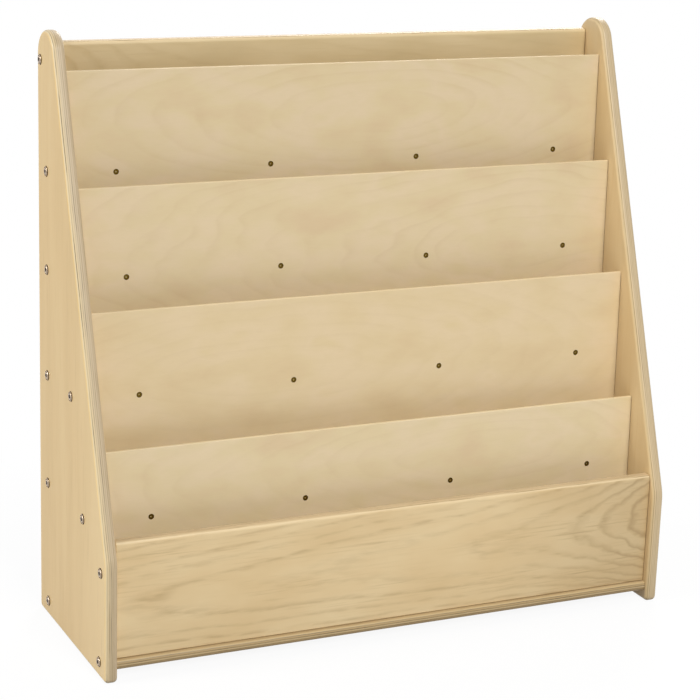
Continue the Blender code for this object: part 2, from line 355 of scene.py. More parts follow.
# Cut plywood edges. The plies lie crosswise in turn, so end grain and long grain take the lacquer to
# their own tones. A glue seam is about 0.1 mm, too fine to show, so it is drawn 1.3 mm wide, and it is
# open and dark mostly in stretches, where a ply has a gap.
VENEER = 0.001
VENEER_FADE = 0.0002
SEAM_WIDTH = 0.0013
SEAM_WAVE = 0.0004
SEAM_WAVE_SIZE = (0.060, 0.060, 0.060)
SEAM_STRETCH = 0.075
SEAM_OPENS = (0.48, 0.58)
EDGE_FLECK_SIZE = (0.024, 0.024, 0.0008)
EDGE_FLECK_RANGE = (0.50, 0.75)
EDGE_FLECK_SHARE = 0.12
EDGE_FLECK_BROWN = "A98C62"


def cut_plies(tree, board, thickness, tones, seams, least_open, number):
    """The colour of a cut edge, ply by ply with the seams between, and how far it is face veneer."""
    wave = grain_figure(tree, board, SEAM_WAVE_SIZE, number, SOFT)
    through = add_node(tree, "SeparateXYZ", {"Vector": board}).outputs["Z"]
    waved = add_node(tree, "Math", {"operation": "MULTIPLY_ADD", 0: wave, 1: SEAM_WAVE * 2, 2: through})
    depth = add_node(
        tree,
        "MapRange",
        {
            "Value": waved.outputs[0],
            "From Min": SEAM_WAVE - thickness / 2,
            "From Max": SEAM_WAVE + thickness / 2,
        },
    )
    ply = 1 / len(tones)
    half_seam = SEAM_WIDTH / thickness / 2
    closed_stops = []
    for count, tone in enumerate(tones):
        closed_stops.append((count * ply + half_seam, tone))
        closed_stops.append(((count + 1) * ply - half_seam, tone))
    open_stops = closed_stops + [((count + 1) * ply, seam) for count, seam in enumerate(seams)]
    closed_seams = add_node(tree, "ValToRGB", {"Fac": depth.outputs[0], "stops": closed_stops})
    open_seams = add_node(tree, "ValToRGB", {"Fac": depth.outputs[0], "stops": sorted(open_stops)})
    stretch_size = (SEAM_STRETCH, SEAM_STRETCH, thickness * ply)
    stretch = grain_figure(tree, board, stretch_size, number, ROUGH)
    opened = add_node(
        tree,
        "MapRange",
        {"Value": stretch, "From Min": SEAM_OPENS[0], "From Max": SEAM_OPENS[1], "To Min": least_open},
    )
    edge = add_node(
        tree,
        "Mix",
        {
            "data_type": "RGBA",
            0: opened.outputs[0],
            6: closed_seams.outputs["Color"],
            7: open_seams.outputs["Color"],
        },
    )
    fleck = grain_figure(tree, board, EDGE_FLECK_SIZE, number, FINE)
    fleck = add_node(
        tree,
        "MapRange",
        {
            "Value": fleck,
            "From Min": EDGE_FLECK_RANGE[0],
            "From Max": EDGE_FLECK_RANGE[1],
            "To Max": EDGE_FLECK_SHARE,
        },
    )
    flecked = add_node(
        tree,
        "Mix",
        {
            "data_type": "RGBA",
            0: fleck.outputs[0],
            6: edge.outputs[2],
            7: linear_colour(EDGE_FLECK_BROWN),
        },
    )
    from_middle = add_node(tree, "Math", {"operation": "ABSOLUTE", 0: through})
    in_veneer = add_node(
        tree,
        "MapRange",
        {
            "Value": from_middle.outputs[0],
            "From Min": thickness / 2 - VENEER - VENEER_FADE,
            "From Max": thickness / 2 - VENEER + VENEER_FADE,
        },
    )
    return flecked.outputs[2], in_veneer.outputs[0]


# Clear satin lacquer over wood: a thin film that follows the pores, smooth enough for a soft sheen. Birch
# pores are about 0.1 mm wide, too fine to show, so they are drawn 1.6 mm wide.
LACQUER_IOR = 1.5
LACQUER_ROUGHNESS = (0.38, 0.52)
PORE_SIZE = (0.022, 0.0016, 0.0016)
PORE_DEPTH = 0.0001
PORE_RELIEF = 0.5


def lacquer(material, board, face, edge, in_veneer, number):
    """Ends a plywood material: face and edge, a sheen that varies with the pores, and their relief."""
    tree = material.node_tree
    pores = grain_figure(tree, board, PORE_SIZE, number, SOFT)
    wood = add_node(tree, "Mix", {"data_type": "RGBA", 0: in_veneer, 6: edge, 7: face})
    smooth, rough = LACQUER_ROUGHNESS
    sheen = add_node(tree, "MapRange", {"Value": pores, "To Min": smooth, "To Max": rough})
    relief = add_node(tree, "Bump", {"Height": pores, "Distance": PORE_DEPTH, "Strength": PORE_RELIEF})
    shader = tree.nodes["Principled BSDF"]
    shader.inputs["IOR"].default_value = LACQUER_IOR
    tree.links.new(wood.outputs[2], shader.inputs["Base Color"])
    tree.links.new(sheen.outputs[0], shader.inputs["Roughness"])
    tree.links.new(relief.outputs[0], shader.inputs["Normal"])


# Birch face veneer on the sides, with the grain upright. It is pale gold and even, with wide soft bands,
# patches of thin brown streaks about 4 mm wide and 85 mm long, and on the left paler sapwood in front.
UPRIGHT = (0, -math.pi / 2, 0)
TONE_PLACES = (0.3, 0.5, 0.7)
SIDE_BAND = (0.300, 0.038, 0.038)
SIDE_STREAK = (0.085, 0.0045, 0.018)
SIDE_STREAK_RANGE = (0.54, 0.76)
SIDE_STREAK_SHARE = 0.3
SIDE_STREAK_BROWN = "BF9961"
SIDE_PATCH = (0.130, 0.035, 0.035)
SIDE_PATCH_RANGE = (0.40, 0.60)
SIDE_PATCH_LEAST = 0.1
PATCH_SEED = 30
SAPWOOD_PALE = "ECCF98"
SIDE_SEAMS_OPEN = 0.35
LEFT_TONES = ("DABA80", "DFBF86", "E3C58D")
LEFT_SAPWOOD = 0.8
LEFT_PLY_TONES = ("CAB696", "C0AC8C", "BDA989", "BDA987", "C3AF8B", "CBB791", "D7C39B")
LEFT_SEAMS = ("A08A62", "98825A", "8E764E", "4E3818", "7A6038", "2E1E0A")
RIGHT_TONES = ("CEB283", "D2B789", "D6BD91")
RIGHT_SAPWOOD = 0.0
RIGHT_PLY_TONES = ("CDB890", "C9B48E", "C5B08C", "C3AE8A", "C4AF8A", "C5AF88", "C6AF84")
RIGHT_SEAMS = ("8C7450", "A08860", "A68E64", "A08860", "785E38", "8A7048")


def side_plywood(side, number, tones, sapwood, ply_tones, seams):
    """Sapwood is how far the veneer pales from its middle to the front edge."""
    low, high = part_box(side + "_side")
    material, board = start_plywood(side + "_side_birch_plywood", (low + high) / 2, UPRIGHT)
    tree = material.node_tree
    bands = grain_figure(tree, board, SIDE_BAND, number, FINE)
    gold = add_node(tree, "ValToRGB", {"Fac": bands, "stops": zip(TONE_PLACES, tones)})
    streak = grain_figure(tree, board, SIDE_STREAK, number, FINE)
    streak = add_node(
        tree,
        "MapRange",
        {
            "Value": streak,
            "From Min": SIDE_STREAK_RANGE[0],
            "From Max": SIDE_STREAK_RANGE[1],
            "To Max": SIDE_STREAK_SHARE,
        },
    )
    patch = grain_figure(tree, board, SIDE_PATCH, number + PATCH_SEED, SOFT)
    patch = add_node(
        tree,
        "MapRange",
        {
            "Value": patch,
            "From Min": SIDE_PATCH_RANGE[0],
            "From Max": SIDE_PATCH_RANGE[1],
            "To Min": SIDE_PATCH_LEAST,
        },
    )
    streak = add_node(tree, "Math", {"operation": "MULTIPLY", 0: streak.outputs[0], 1: patch.outputs[0]})
    across = add_node(tree, "SeparateXYZ", {"Vector": board}).outputs["Y"]
    paling = add_node(
        tree, "MapRange", {"Value": across, "From Max": (low.y - high.y) / 2, "To Max": sapwood}
    )
    pale = add_node(
        tree,
        "Mix",
        {
            "data_type": "RGBA",
            0: paling.outputs[0],
            6: gold.outputs["Color"],
            7: linear_colour(SAPWOOD_PALE),
        },
    )
    face = add_node(
        tree,
        "Mix",
        {
            "data_type": "RGBA",
            0: streak.outputs[0],
            6: pale.outputs[2],
            7: linear_colour(SIDE_STREAK_BROWN),
        },
    )
    edge, in_veneer = cut_plies(tree, board, high.x - low.x, ply_tones, seams, SIDE_SEAMS_OPEN, number)
    lacquer(material, board, face.outputs[2], edge, in_veneer, number)
    return material


finish = side_plywood("left", 1, LEFT_TONES, LEFT_SAPWOOD, LEFT_PLY_TONES, LEFT_SEAMS)
finish_piece(side_board("left", finish), "left_side")
finish = side_plywood("right", 2, RIGHT_TONES, RIGHT_SAPWOOD, RIGHT_PLY_TONES, RIGHT_SEAMS)
finish_piece(side_board("right", finish), "right_side")

# The four shelves: flat 15 mm plywood boards between the sides, hidden behind the panels from the front.
# Their front edge is planed to the lean of the panel that is screwed to it, and their rear edges are
# eased by hand.
PANEL_LEAN = math.radians(1.2)
EASED_EDGE = 0.0015
EASED_STEPS = 3
SCREW_HEAD = 0.0075
SCREW_SHANK = 0.0035
SCREW_LENGTH = 0.030
SCREW_SUNK = 0.0003
SCREW_RIM = 0.0005
SCREW_HOLE_FLARE = 0.12

panel_outward = Vector((0, -math.cos(PANEL_LEAN), math.sin(PANEL_LEAN)))
screw_shoulder = -SCREW_SUNK - SCREW_RIM
screw_neck = screw_shoulder - (SCREW_HEAD - SCREW_SHANK) / 2
screw_mouth = SCREW_HEAD / 2 + HOLE_CLEARANCE + (DRILL_OVERSHOOT - screw_shoulder) * SCREW_HOLE_FLARE
screw_drill = turn_round(
    "screw_drill",
    (
        (SCREW_SHANK / 2 + HOLE_CLEARANCE, -SCREW_LENGTH - HOLE_CLEARANCE),
        (SCREW_SHANK / 2 + HOLE_CLEARANCE, screw_neck - HOLE_CLEARANCE),
        (SCREW_HEAD / 2 + HOLE_CLEARANCE, screw_shoulder),
        (screw_mouth, DRILL_OVERSHOOT),
    ),
    DRILL_FACETS,
    hole_shade_wood,
)


def screw_place(node):
    """The middle of a screw's head, with Z square out of its panel."""
    low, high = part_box(node)
    middle = (low + high) / 2
    head = Vector((middle.x, low.y, middle.z))
    return Matrix.Translation(head) @ Matrix.Rotation(math.pi / 2 - PANEL_LEAN, 4, "X")


def screw_cuts(number):
    nodes = nodes_of(f"panel_{number}_screw_")
    return [copy_to(screw_drill, "cut_" + node, screw_place(node)) for node in nodes]


def end_cuts(board):
    """Cutters for the bolts and dowels that hold a board's two ends."""
    return joinery_cuts("left", board) + joinery_cuts("right", board)


def rear_edges_of(high):
    """A test for the two long edges at the rear of a flat board."""
    return lambda a, b: min(a.y, b.y) > high.y - SAME_PLACE and abs(a.z - b.z) < SAME_PLACE


def shelf_board(node, material):
    low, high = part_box(node)
    piece = saw_block(node + "_finished", low, high, material)
    edge_middle = low.y + (high.z - low.z) / 2 * math.tan(PANEL_LEAN)
    plane_off(Vector((0, edge_middle, (low.z + high.z) / 2)), panel_outward)
    round_edges(rear_edges_of(high), EASED_EDGE, EASED_STEPS)
    bpy.ops.object.mode_set(mode="OBJECT")
    number = node[-1]
    cut_away(piece, end_cuts(node) + screw_cuts(number))
    return piece


# Birch veneer on the flat boards: level grain, a little darker than the sides, with long soft streaks.
# The darker tone is partly painted shade, for the bottom board's face under the front board.
FLAT = (0, 0, 0)
SHELF_STREAK = (0.170, 0.009, 0.018)
SHELF_TONES = ("AE936A", "B89E74", "C2A980")
SHELF_PLY_TONES = ("B49A6E", "A0865A", "BCA47A", "A88E62", "C0A87A")
SHELF_SEAMS = ("3A2810", "463216", "3A2810", "4A361A")
SHELF_SEAMS_OPEN = 0.6


def flat_board_plywood(node, number):
    low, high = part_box(node)
    material, board = start_plywood(node + "_birch_plywood", (low + high) / 2, FLAT)
    tree = material.node_tree
    streak = grain_figure(tree, board, SHELF_STREAK, number, ROUGH)
    face = add_node(tree, "ValToRGB", {"Fac": streak, "stops": zip(TONE_PLACES, SHELF_TONES)})
    thickness = high.z - low.z
    edge, in_veneer = cut_plies(
        tree, board, thickness, SHELF_PLY_TONES, SHELF_SEAMS, SHELF_SEAMS_OPEN, number
    )
    lacquer(material, board, face.outputs["Color"], edge, in_veneer, number)
    return material


for number, node in enumerate(nodes_of("shelf_"), start=3):
    finish = flat_board_plywood(node, number)
    finish_piece(shelf_board(node, finish), node)

# The bottom board: the same 15 mm plywood, a little above the floor, bolted at both ends. Its front edge,
# which shows under the front board, is rounded over and shows its plies, with dark glue seams.


def bottom_board(node, material):
    low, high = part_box(node)
    piece = saw_block(node + "_finished", low, high, material)

    def front_edges(a, b):
        return max(a.y, b.y) < low.y + SAME_PLACE and abs(a.z - b.z) < SAME_PLACE

    round_edges(rear_edges_of(high), EASED_EDGE, EASED_STEPS)
    round_edges(front_edges, ROUND_OVER, ROUND_OVER_STEPS)
    bpy.ops.object.mode_set(mode="OBJECT")
    cut_away(piece, end_cuts(node))
    return piece


finish = flat_board_plywood("bottom_board", 7)
finish_piece(bottom_board("bottom_board", finish), "bottom_board")

# The back board and the front board: 19 mm plywood on edge, one at the top of the rear and one across the
# lowest slot. Both top edges are rounded over, the ends are eased, and one bolt and one dowel hold each
# end.


def standing_board(node, material):
    low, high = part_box(node)
    piece = saw_block(node + "_finished", low, high, material)

    def top_edges(a, b):
        return min(a.z, b.z) > high.z - SAME_PLACE and abs(a.y - b.y) < SAME_PLACE

    def foot_edges(a, b):
        return max(a.z, b.z) < low.z + SAME_PLACE and abs(a.y - b.y) < SAME_PLACE

    def end_edges(a, b):
        return abs(a.x - b.x) < SAME_PLACE

    round_edges(top_edges, ROUND_OVER, ROUND_OVER_STEPS)
    round_edges(foot_edges, EASED_EDGE, EASED_STEPS)
    round_edges(end_edges, EASED_EDGE, EASED_STEPS)
    bpy.ops.object.mode_set(mode="OBJECT")
    cut_away(piece, end_cuts(node))
    return piece


# Flat-cut birch veneer of the two standing boards, with the grain level. The knife cuts the growth rings
# at a slant, so they show as long tongues, one in the other, that crowd and curl at the end where a
# branch grew. Each ring is as dark as its year, and is broken into fine streaks along the grain.
ON_EDGE = (math.pi / 2, 0, 0)
HEART_DEPTH = 0.100
RING_SPACING = 0.0085
RING_TAPER = 0.030
CROWD_START = 0.170
RING_CROWDING = 0.38
RING_WAVE = 0.009
RING_WAVE_SIZE = (0.130, 0.040, 0.040)
RING_CURL = 0.0095
RING_CURL_SIZE = (0.028, 0.020, 0.020)
CURL_SEED = 40
RING_SEASON = ((0.0, "000000"), (0.45, "343434"), (0.78, "FFFFFF"), (1.0, "000000"))
PALEST_YEAR = 0.45
RING_BREAK_SIZE = (0.040, 0.0060, 0.006)
RING_BREAK_RANGE = (0.40, 0.62)
RING_BREAK_LEAST = 0.15
STREAK_SIZE = (0.085, 0.0034, 0.010)
STREAK_RANGE = (0.51, 0.72)
STREAK_PATCH_SIZE = (0.150, 0.030, 0.030)
STREAK_PATCH_RANGE = (0.44, 0.62)
STREAK_PATCH_LEAST = 0.08
BLOTCH_SIZE = (0.150, 0.055, 0.055)
STANDING_PLY_TONES = ("D6BE94", "C7AE86", "D4BD96", "C5AD88", "D2BA92", "C9B18A", "DCC59A")
STANDING_SEAMS = ("93764E", "93764E", "8A6C42", "93764E", "8A6C42", "93764E")
STANDING_SEAMS_OPEN = 0.08
LEFT_END = -1
RIGHT_END = 1
BACK_TONES = ("C8B184", "D0B98C", "D7C196")
BACK_RING = "A5854F"
BACK_STRENGTH = (0.14, 0.34, 0.10)
BACK_HEART = (0.020, -0.05)
FRONT_TONES = ("D2B788", "D8BF92", "DDC79C")
FRONT_RING = "866838"
FRONT_STRENGTH = (0.36, 0.42, 0.33)
FRONT_HEART = (0.002, 0.040)


def flat_cut_plywood(node, number, tones, ring_colour, strength, heart, branch_end):
    """Strength is of the plain and the crowded rings, and of the darkening towards the branch end, which
    is partly wood by the branch and partly painted shade. The heart is the height and slope of the line
    through the tongues."""
    low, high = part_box(node)
    material, board = start_plywood(node + "_birch_plywood", (low + high) / 2, ON_EDGE)
    tree = material.node_tree
    heart_height, heart_slope = heart
    plain, crowded, branch_tone_and_painted_shade = strength
    parts = add_node(tree, "SeparateXYZ", {"Vector": board})
    heart_line = add_node(
        tree,
        "Math",
        {"operation": "MULTIPLY_ADD", 0: parts.outputs["X"], 1: heart_slope, 2: heart_height},
    )
    across = add_node(
        tree, "Math", {"operation": "SUBTRACT", 0: parts.outputs["Y"], 1: heart_line.outputs[0]}
    )
    squared = add_node(
        tree,
        "Math",
        {"operation": "MULTIPLY_ADD", 0: across.outputs[0], 1: across.outputs[0], 2: HEART_DEPTH**2},
    )
    radius = add_node(tree, "Math", {"operation": "SQRT", 0: squared.outputs[0]})
    along = add_node(tree, "Math", {"operation": "MULTIPLY", 0: parts.outputs["X"], 1: branch_end})
    cone = add_node(
        tree,
        "Math",
        {"operation": "MULTIPLY_ADD", 0: along.outputs[0], 1: -RING_TAPER, 2: radius.outputs[0]},
    )
    beyond = add_node(tree, "Math", {"operation": "SUBTRACT", 0: along.outputs[0], 1: CROWD_START})
    beyond = add_node(tree, "Math", {"operation": "MAXIMUM", 0: beyond.outputs[0], 1: 0.0})
    crowd = add_node(tree, "Math", {"operation": "MULTIPLY", 0: beyond.outputs[0], 1: beyond.outputs[0]})
    cone = add_node(
        tree,
        "Math",
        {"operation": "MULTIPLY_ADD", 0: crowd.outputs[0], 1: -RING_CROWDING, 2: cone.outputs[0]},
    )
    wave = grain_figure(tree, board, RING_WAVE_SIZE, number, SOFT)
    waved = add_node(
        tree, "Math", {"operation": "MULTIPLY_ADD", 0: wave, 1: RING_WAVE, 2: cone.outputs[0]}
    )
    near_branch = add_node(
        tree, "MapRange", {"Value": along.outputs[0], "From Min": CROWD_START, "From Max": high.x}
    )
    curl = grain_figure(tree, board, RING_CURL_SIZE, number + CURL_SEED, SOFT)
    curl = add_node(tree, "Math", {"operation": "MULTIPLY", 0: curl, 1: near_branch.outputs[0]})
    curled = add_node(
        tree,
        "Math",
        {"operation": "MULTIPLY_ADD", 0: curl.outputs[0], 1: RING_CURL, 2: waved.outputs[0]},
    )
    years = add_node(tree, "Math", {"operation": "DIVIDE", 0: curled.outputs[0], 1: RING_SPACING})
    season = add_node(tree, "Math", {"operation": "FRACT", 0: years.outputs[0]})
    late_wood = add_node(tree, "ValToRGB", {"Fac": season.outputs[0], "stops": RING_SEASON})
    year = add_node(tree, "Math", {"operation": "FLOOR", 0: years.outputs[0]})
    year = add_node(tree, "TexWhiteNoise", {"noise_dimensions": "1D", "W": year.outputs[0]})
    year = add_node(tree, "MapRange", {"Value": year.outputs["Value"], "To Min": PALEST_YEAR})
    broken = grain_figure(tree, board, RING_BREAK_SIZE, number, FINE)
    broken = add_node(
        tree,
        "MapRange",
        {
            "Value": broken,
            "From Min": RING_BREAK_RANGE[0],
            "From Max": RING_BREAK_RANGE[1],
            "To Min": RING_BREAK_LEAST,
        },
    )
    broken = add_node(
        tree, "Math", {"operation": "MAXIMUM", 0: broken.outputs[0], 1: near_branch.outputs[0]}
    )
    ring = add_node(
        tree, "Math", {"operation": "MULTIPLY", 0: late_wood.outputs["Color"], 1: year.outputs[0]}
    )
    ring = add_node(tree, "Math", {"operation": "MULTIPLY", 0: ring.outputs[0], 1: broken.outputs[0]})
    streak = grain_figure(tree, board, STREAK_SIZE, number, ROUGH)
    streak = add_node(
        tree,
        "MapRange",
        {"Value": streak, "From Min": STREAK_RANGE[0], "From Max": STREAK_RANGE[1]},
    )
    patch = grain_figure(tree, board, STREAK_PATCH_SIZE, number + PATCH_SEED, SOFT)
    patch = add_node(
        tree,
        "MapRange",
        {
            "Value": patch,
            "From Min": STREAK_PATCH_RANGE[0],
            "From Max": STREAK_PATCH_RANGE[1],
            "To Min": STREAK_PATCH_LEAST,
        },
    )
    streak = add_node(tree, "Math", {"operation": "MULTIPLY", 0: streak.outputs[0], 1: patch.outputs[0]})
    figure = add_node(tree, "Math", {"operation": "MAXIMUM", 0: ring.outputs[0], 1: streak.outputs[0]})
    contrast = add_node(
        tree, "MapRange", {"Value": near_branch.outputs[0], "To Min": plain, "To Max": crowded}
    )
    figure = add_node(
        tree, "Math", {"operation": "MULTIPLY", 0: figure.outputs[0], 1: contrast.outputs[0]}
    )
    # Darker towards the branch end: partly wood by the branch, partly painted shade.
    figure = add_node(
        tree,
        "Math",
        {"operation": "MULTIPLY_ADD", 0: near_branch.outputs[0], 1: branch_tone_and_painted_shade, 2: figure.outputs[0]},
    )
    blotch = grain_figure(tree, board, BLOTCH_SIZE, number, FINE)
    wood = add_node(tree, "ValToRGB", {"Fac": blotch, "stops": zip(TONE_PLACES, tones)})
    face = add_node(
        tree,
        "Mix",
        {
            "data_type": "RGBA",
            0: figure.outputs[0],
            6: wood.outputs["Color"],
            7: linear_colour(ring_colour),
        },
    )
    thickness = high.y - low.y
    edge, in_veneer = cut_plies(
        tree, board, thickness, STANDING_PLY_TONES, STANDING_SEAMS, STANDING_SEAMS_OPEN, number
    )
    lacquer(material, board, face.outputs[2], edge, in_veneer, number)
    return material


finish = flat_cut_plywood("back_board", 8, BACK_TONES, BACK_RING, BACK_STRENGTH, BACK_HEART, LEFT_END)
finish_piece(standing_board("back_board", finish), "back_board")
finish = flat_cut_plywood(
    "front_board", 9, FRONT_TONES, FRONT_RING, FRONT_STRENGTH, FRONT_HEART, RIGHT_END
)
finish_piece(standing_board("front_board", finish), "front_board")

# The four display panels: 6 mm plywood that the books lean on. Each stands on the board below and leans
# back 1.2 degrees against the planed edge of its shelf, with four countersunk screws. Its top edge is
# eased, and its ends are cut to leave only a thin gap at the sides.
PANEL = 0.006
PANEL_END_FIT = 0.0006


def display_panel(number, material):
    node = f"display_panel_{number}"
    low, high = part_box(node)
    foot = Vector((0, low.y + PANEL * math.cos(PANEL_LEAN), low.z))
    length = (high.z - low.z) / math.cos(PANEL_LEAN)
    block_low = Vector((low.x - PANEL_END_FIT, -PANEL, 0))
    block_high = Vector((high.x + PANEL_END_FIT, 0, length))
    piece = saw_block(node + "_finished", block_low, block_high, material)

    def top_edges(a, b):
        return min(a.z, b.z) > length - SAME_PLACE and abs(a.y - b.y) < SAME_PLACE

    round_edges(top_edges, EASED_EDGE, EASED_STEPS)
    bpy.ops.object.mode_set(mode="OBJECT")
    piece.matrix_world = Matrix.Translation(foot) @ Matrix.Rotation(-PANEL_LEAN, 4, "X")
    bpy.ops.object.transform_apply(location=True, rotation=True, scale=True)
    cut_away(piece, screw_cuts(number))
    return piece


# Rotary-cut birch veneer: the knife peels the log along its rings, so they show only as faint wide loops,
# under soft clouds of pinkish and greenish beige. Each panel has the heart of its loops in another
# place. The fibres are too fine to show, so they are drawn 2 mm wide.
LEANING = (math.pi / 2 - PANEL_LEAN, 0, 0)
CLOUD_SIZE = (0.110, 0.055, 0.055)
CLOUD_PLACES = (0.3, 0.45, 0.58, 0.7)
LOOP_LENGTH = 0.056
LOOP_HEIGHT = 0.015
LOOP_WAVE_SIZE = (0.240, 0.075, 0.075)
LOOP_SEASON = ((0.0, "000000"), (0.55, "303030"), (0.88, "FFFFFF"), (1.0, "000000"))
LOOP_FADE_SIZE = (0.160, 0.055, 0.055)
LOOP_FADE_RANGE = (0.40, 0.64)
LOOP_FADE_LEAST = 0.04
FADE_SEED = 10
PLAIN_HEART = (1.2, 2.4)
FIBRE_SIZE = (0.014, 0.0022, 0.0022)
FIBRE_RANGE = (0.45, 0.75)
FIBRE_SHARE = 0.06
LOOP_BROWN = "BFA377"
PANEL_HEARTS = ((0.045, 0.069), (0.300, 0.020), (-0.150, 0.035), (0.160, 0.075))
PANEL_LOOP_WAVES = (1.6, 4.0, 2.6, 3.0)
PANEL_LOOP_DARKNESS = (0.20, 0.18, 0.09, 0.13)
PANEL_TONES = (
    ("D1B992", "D5C198", "D8C3A0", "D4C097"),
    ("D4BC95", "D8C49B", "DBC6A2", "D7C399"),
    ("D5BD93", "D9C399", "DCC6A0", "D8C296"),
    ("D6BF98", "DAC79E", "DDC9A5", "D9C69D"),
)
PANEL_PLY_TONES = ("ECD9B0", "E6D2A8", "EEDCB4")
PANEL_SEAMS = ("C0A376", "C0A376")
PANEL_SEAMS_OPEN = 0.08
PANEL_SEED = 20


def rotary_plywood(number):
    low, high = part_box(f"display_panel_{number}")
    material, board = start_plywood(f"panel_{number}_birch_plywood", (low + high) / 2, LEANING)
    tree = material.node_tree
    cloud = grain_figure(tree, board, CLOUD_SIZE, number, FINE)
    tones = PANEL_TONES[number - 1]
    beige = add_node(tree, "ValToRGB", {"Fac": cloud, "stops": zip(CLOUD_PLACES, tones)})
    heart_along, heart_up = PANEL_HEARTS[number - 1]
    from_heart = add_node(
        tree, "VectorMath", {"operation": "SUBTRACT", 0: board, 1: (heart_along, heart_up, 0)}
    )
    from_heart = add_node(
        tree,
        "VectorMath",
        {"operation": "DIVIDE", 0: from_heart.outputs[0], 1: (LOOP_LENGTH, LOOP_HEIGHT, 1)},
    )
    from_heart = add_node(tree, "VectorMath", {"operation": "LENGTH", 0: from_heart.outputs[0]})
    wave = grain_figure(tree, board, LOOP_WAVE_SIZE, number, SOFT)
    loops = add_node(
        tree,
        "Math",
        {
            "operation": "MULTIPLY_ADD",
            0: wave,
            1: PANEL_LOOP_WAVES[number - 1],
            2: from_heart.outputs["Value"],
        },
    )
    loops = add_node(tree, "Math", {"operation": "FRACT", 0: loops.outputs[0]})
    loops = add_node(tree, "ValToRGB", {"Fac": loops.outputs[0], "stops": LOOP_SEASON})
    fade = grain_figure(tree, board, LOOP_FADE_SIZE, number + FADE_SEED, SOFT)
    fade = add_node(
        tree,
        "MapRange",
        {
            "Value": fade,
            "From Min": LOOP_FADE_RANGE[0],
            "From Max": LOOP_FADE_RANGE[1],
            "To Min": LOOP_FADE_LEAST,
            "To Max": PANEL_LOOP_DARKNESS[number - 1],
        },
    )
    faint = add_node(
        tree, "Math", {"operation": "MULTIPLY", 0: loops.outputs["Color"], 1: fade.outputs[0]}
    )
    outside = add_node(
        tree,
        "MapRange",
        {
            "Value": from_heart.outputs["Value"],
            "From Min": PLAIN_HEART[0],
            "From Max": PLAIN_HEART[1],
        },
    )
    faint = add_node(tree, "Math", {"operation": "MULTIPLY", 0: faint.outputs[0], 1: outside.outputs[0]})
    fibre = grain_figure(tree, board, FIBRE_SIZE, number, SOFT)
    fibre = add_node(
        tree,
        "MapRange",
        {
            "Value": fibre,
            "From Min": FIBRE_RANGE[0],
            "From Max": FIBRE_RANGE[1],
            "To Max": FIBRE_SHARE,
        },
    )
    figure = add_node(tree, "Math", {"operation": "ADD", 0: faint.outputs[0], 1: fibre.outputs[0]})
    face = add_node(
        tree,
        "Mix",
        {
            "data_type": "RGBA",
            0: figure.outputs[0],
            6: beige.outputs["Color"],
            7: linear_colour(LOOP_BROWN),
        },
    )
    seed = number + PANEL_SEED
    edge, in_veneer = cut_plies(
        tree, board, PANEL, PANEL_PLY_TONES, PANEL_SEAMS, PANEL_SEAMS_OPEN, seed
    )
    lacquer(material, board, face.outputs[2], edge, in_veneer, seed)
    return material


for number in (1, 2, 3, 4):
    finish = rotary_plywood(number)
    finish_piece(display_panel(number, finish), f"display_panel_{number}")

# The eight dowels: fluteless beech pins, 8 mm thick, glued between the sides and the boards with one bolt
# to an end. They lie hidden in their holes, so the drawn solids stay and only get the look of bare beech.
BEECH_FLECK = (0.0072, 0.0012, 0.0012)
BEECH_TONES = ((0.35, "C79B6B"), (0.55, "D6B284"), (0.7, "DDBD92"))
BEECH_ROUGHNESS = 0.7


def bare_beech():
    """Straight-grained beech: short dark flecks along the pin, dry and unlacquered."""
    material = new_material("bare_beech")
    tree = material.node_tree
    place = add_node(tree, "TexCoord", {})
    fleck = grain_figure(tree, place.outputs["Object"], BEECH_FLECK, 0, FINE)
    wood = add_node(tree, "ValToRGB", {"Fac": fleck, "stops": BEECH_TONES})
    shader = tree.nodes["Principled BSDF"]
    shader.inputs["Roughness"].default_value = BEECH_ROUGHNESS
    tree.links.new(wood.outputs["Color"], shader.inputs["Base Color"])
    return material


beech = bare_beech()
for node in nodes_of("left_dowel_") + nodes_of("right_dowel_"):
    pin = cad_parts[node]
    pin.data.materials.clear()
    pin.data.materials.append(beech)

# The twenty bolts: zinc-plated steel, turned, and threaded into the boards. Their flat heads, 14 mm wide
# with a hexagon socket and a rounded edge, sit in a shallow spot face and stand about 2 mm out of the
# side. The rim of the face and the foot of the head are painted dark brown as painted shade, the socket
# is painted near black as painted shade, and the zinc between them is tinted warm as a painted
# reflection.
BOLT_HEAD = 0.014
BOLT_POINT = 0.003
BOLT_TIP = 0.003
SOCKET_SIDES = 6
SOCKET_WIDTH = 0.0055
SOCKET_DEPTH = 0.0020
SOCKET_MOUTH = 0.0003
SOCKET_FLOOR = 0.4
HEAD_EDGE = 0.0010
HEAD_CROWN = 0.0002
HEAD_EDGE_STEPS = 6
HEAD_MIDDLE = 0.007
BRIGHT_FACE = 0.0096
SHADE_PAINTED_FOOT = 0.0018
FACING_OUT = 0.9
BOLT_FACETS = 48
# The zinc is tinted warm beige, a painted reflection of the wood round it.
WOOD_TINTED_ZINC_TONES = ("BEA88E", "D6C2A8", "ECDCC8")
ZINC_ROUGHNESS = (0.2, 0.36)
SHADE_PAINTED_ZINC_TONES = ("583E24", "684E34", "7E6448")
SHADE_PAINTED_ZINC_ROUGHNESS = (0.4, 0.55)
# The socket is painted near black, as painted shade in the hexagon hollow.
SOCKET_SHADE_TONES = ("2A2220", "3A302E", "4C4140")
SOCKET_ROUGHNESS = (0.45, 0.6)

# Plated steel: a bright metal skin with a soft shine. The plating is uneven over a few tenths of a
# millimetre, too fine to show, so its tones are drawn 1.8 mm wide.
PLATE_GRAIN = (0.0018, 0.0018, 0.0018)


